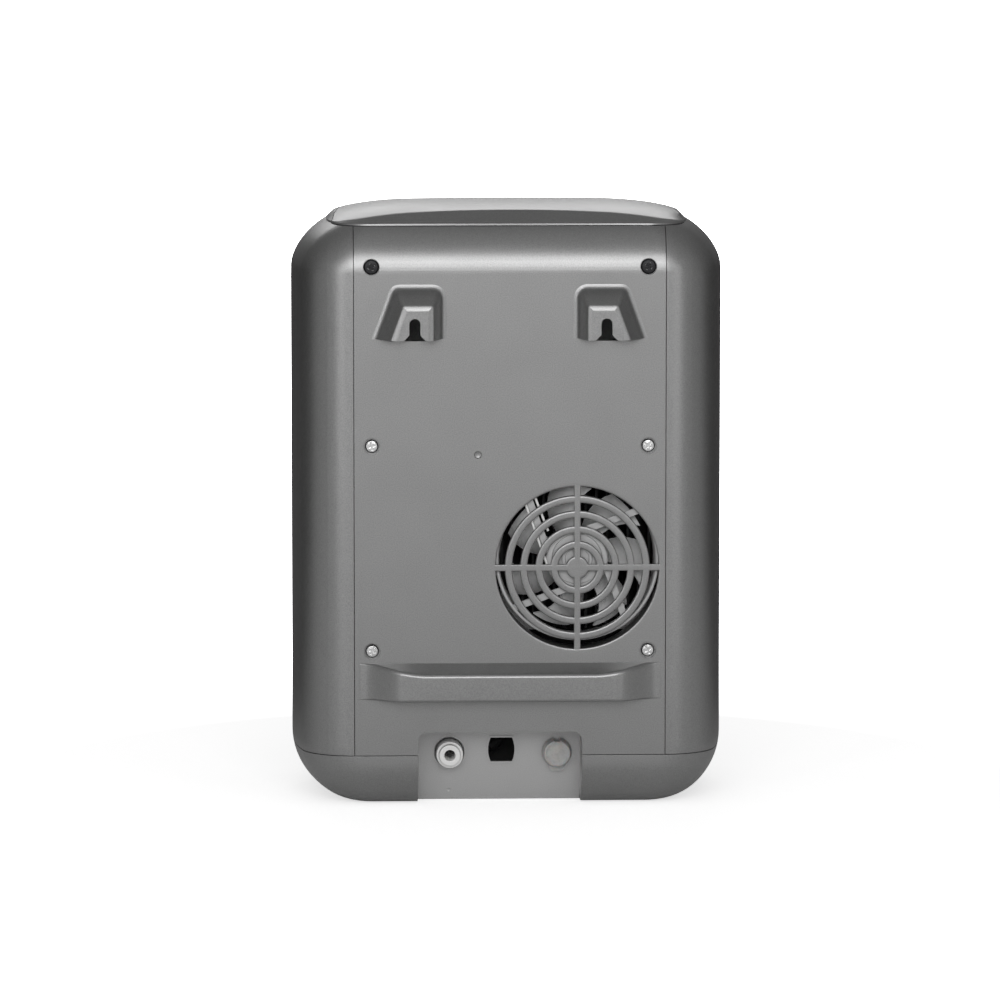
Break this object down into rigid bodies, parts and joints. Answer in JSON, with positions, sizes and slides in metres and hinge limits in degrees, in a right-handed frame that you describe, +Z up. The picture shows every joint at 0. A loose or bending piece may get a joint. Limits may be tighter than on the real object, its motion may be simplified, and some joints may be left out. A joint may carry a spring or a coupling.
{
  "type": "wall-hung water dispenser",
  "caption": "Wall-hung hot and cold drinking-water dispenser with rear hanging hooks, fan grille, pipe and drain connections, front alcove, nozzle and slide-out drip tray.",
  "frame": {"origin": "middle of the base's flat underside, halfway between the front and rear panels", "axes": "+Z up, front towards -Y, rear (wall side) towards +Y, +X to the right of someone who faces the front"},
  "size_m": [0.265, 0.1721, 0.366],
  "materials": {
    "shell_grey": "satin metallic grey lacquer over moulded plastic, fine flake",
    "fascia_dark": "dark grey gloss moulding",
    "alcove_dark": "dark satin moulding",
    "frame_plastic": "black glass-filled moulding",
    "bay_grey": "grey satin moulding",
    "steel": "bright zinc-plated or stainless steel",
    "black_steel": "blackened steel",
    "fan_grey": "light grey glass-filled moulding",
    "rotor_grey": "pale grey glass-filled moulding",
    "black_anodised": "black anodised extrusion",
    "aluminium": "extruded, plain",
    "ceramic": "white ceramic plates",
    "tank_plastic": "milky food-grade moulding",
    "heater_steel": "drawn stainless tube",
    "black_plastic": "black moulding",
    "black_rubber": "black rubber",
    "white_plastic": "white acetal",
    "coil_wrap": "potted coil",
    "silicone": "milky silicone",
    "black_glass": "black gloss window",
    "circuit_board": "green board",
    "board_components": "mixed electronic parts",
    "button_red": "red button",
    "button_grey": "grey button",
    "button_blue": "blue button"
  },
  "bodies": {
    "body": {"rear_panel": "shell_grey", "side_shell_right": "shell_grey", "side_shell_left": "shell_grey", "base_shell": "shell_grey", "top_cover": "shell_grey", "front_panel": "fascia_dark", "connection_bay": "bay_grey", "alcove_liner": "alcove_dark", "chassis": "frame_plastic", "panel_screws": "steel", "top_screws": "black_steel", "fan_frame": "fan_grey", "fan_screws": "steel", "heat_sink": "black_anodised", "cooling_module": "ceramic", "cold_block": "aluminium", "buffer_tank": "tank_plastic", "tank_cap": "tank_plastic", "float_stem": "tank_plastic", "heater": "heater_steel", "heater_clips": "frame_plastic", "thermostats": "black_plastic", "pump_mount": "black_rubber", "pump_head": "tank_plastic", "pump_motor": "steel", "inlet_fitting": "white_plastic", "inlet_valve": "white_plastic", "valve_coil": "coil_wrap", "drain_spigot": "white_plastic", "hose_inlet": "black_rubber", "hose_cold_in": "black_rubber", "hose_cold_out": "black_rubber", "hose_pump_in": "black_rubber", "hose_pump_out": "black_rubber", "hose_hot_out": "black_rubber", "hose_drain": "black_rubber", "nozzle": "black_plastic", "nozzle_tip": "steel", "display_lens": "black_glass", "display_board": "circuit_board", "switches": "frame_plastic", "power_board": "circuit_board", "board_parts": "board_components"},
    "rotor": {"fan_rotor": "rotor_grey"},
    "collet": {"inlet_collet": "white_plastic"},
    "plug": {"drain_plug": "silicone"},
    "tray": {"drip_tray": "black_plastic"},
    "grid": {"drip_grid": "steel"},
    "hot_button": {"button_hot": "button_red"},
    "warm_button": {"button_warm": "button_grey"},
    "cold_button": {"button_cold": "button_blue"},
    "lock_button": {"button_lock": "button_grey"},
    "float": {"level_float": "tank_plastic"},
    "plunger": {"valve_plunger": "steel"}
  },
  "joints": [
    {"name": "fan_spin", "type": "hinge", "parent": "body", "child": "rotor", "pos_m": [-0.041, 0.062, 0.1523], "axis": [0, 1, 0], "continuous": true},
    {"name": "collet_press", "type": "slide", "parent": "body", "child": "collet", "axis": [0, -1, 0], "range_m": [0, 0.0015], "stiffness_N_per_m": 600, "springref_m": -0.0005},
    {"name": "plug_pull", "type": "slide", "parent": "body", "child": "plug", "axis": [0, 1, 0], "range_m": [0, 0.025]},
    {"name": "tray_slide", "type": "slide", "parent": "body", "child": "tray", "axis": [0, -1, 0], "range_m": [0, 0.07]},
    {"name": "grid_lift", "type": "slide", "parent": "tray", "child": "grid", "axis": [0, 0, 1], "range_m": [0, 0.03]},
    {"name": "hot_press", "type": "slide", "parent": "body", "child": "hot_button", "axis": [0, 1, 0], "range_m": [0, 0.0006], "stiffness_N_per_m": 500, "springref_m": -0.0005},
    {"name": "warm_press", "type": "slide", "parent": "body", "child": "warm_button", "axis": [0, 1, 0], "range_m": [0, 0.0006], "stiffness_N_per_m": 500, "springref_m": -0.0005},
    {"name": "cold_press", "type": "slide", "parent": "body", "child": "cold_button", "axis": [0, 1, 0], "range_m": [0, 0.0006], "stiffness_N_per_m": 500, "springref_m": -0.0005},
    {"name": "lock_press", "type": "slide", "parent": "body", "child": "lock_button", "axis": [0, 1, 0], "range_m": [0, 0.0006], "stiffness_N_per_m": 500, "springref_m": -0.0005},
    {"name": "float_rise", "type": "slide", "parent": "body", "child": "float", "axis": [0, 0, 1], "range_m": [0, 0.03]},
    {"name": "plunger_lift", "type": "slide", "parent": "body", "child": "plunger", "axis": [0, 0, 1], "range_m": [0, 0.003], "stiffness_N_per_m": 200, "springref_m": -0.004}
  ]
}
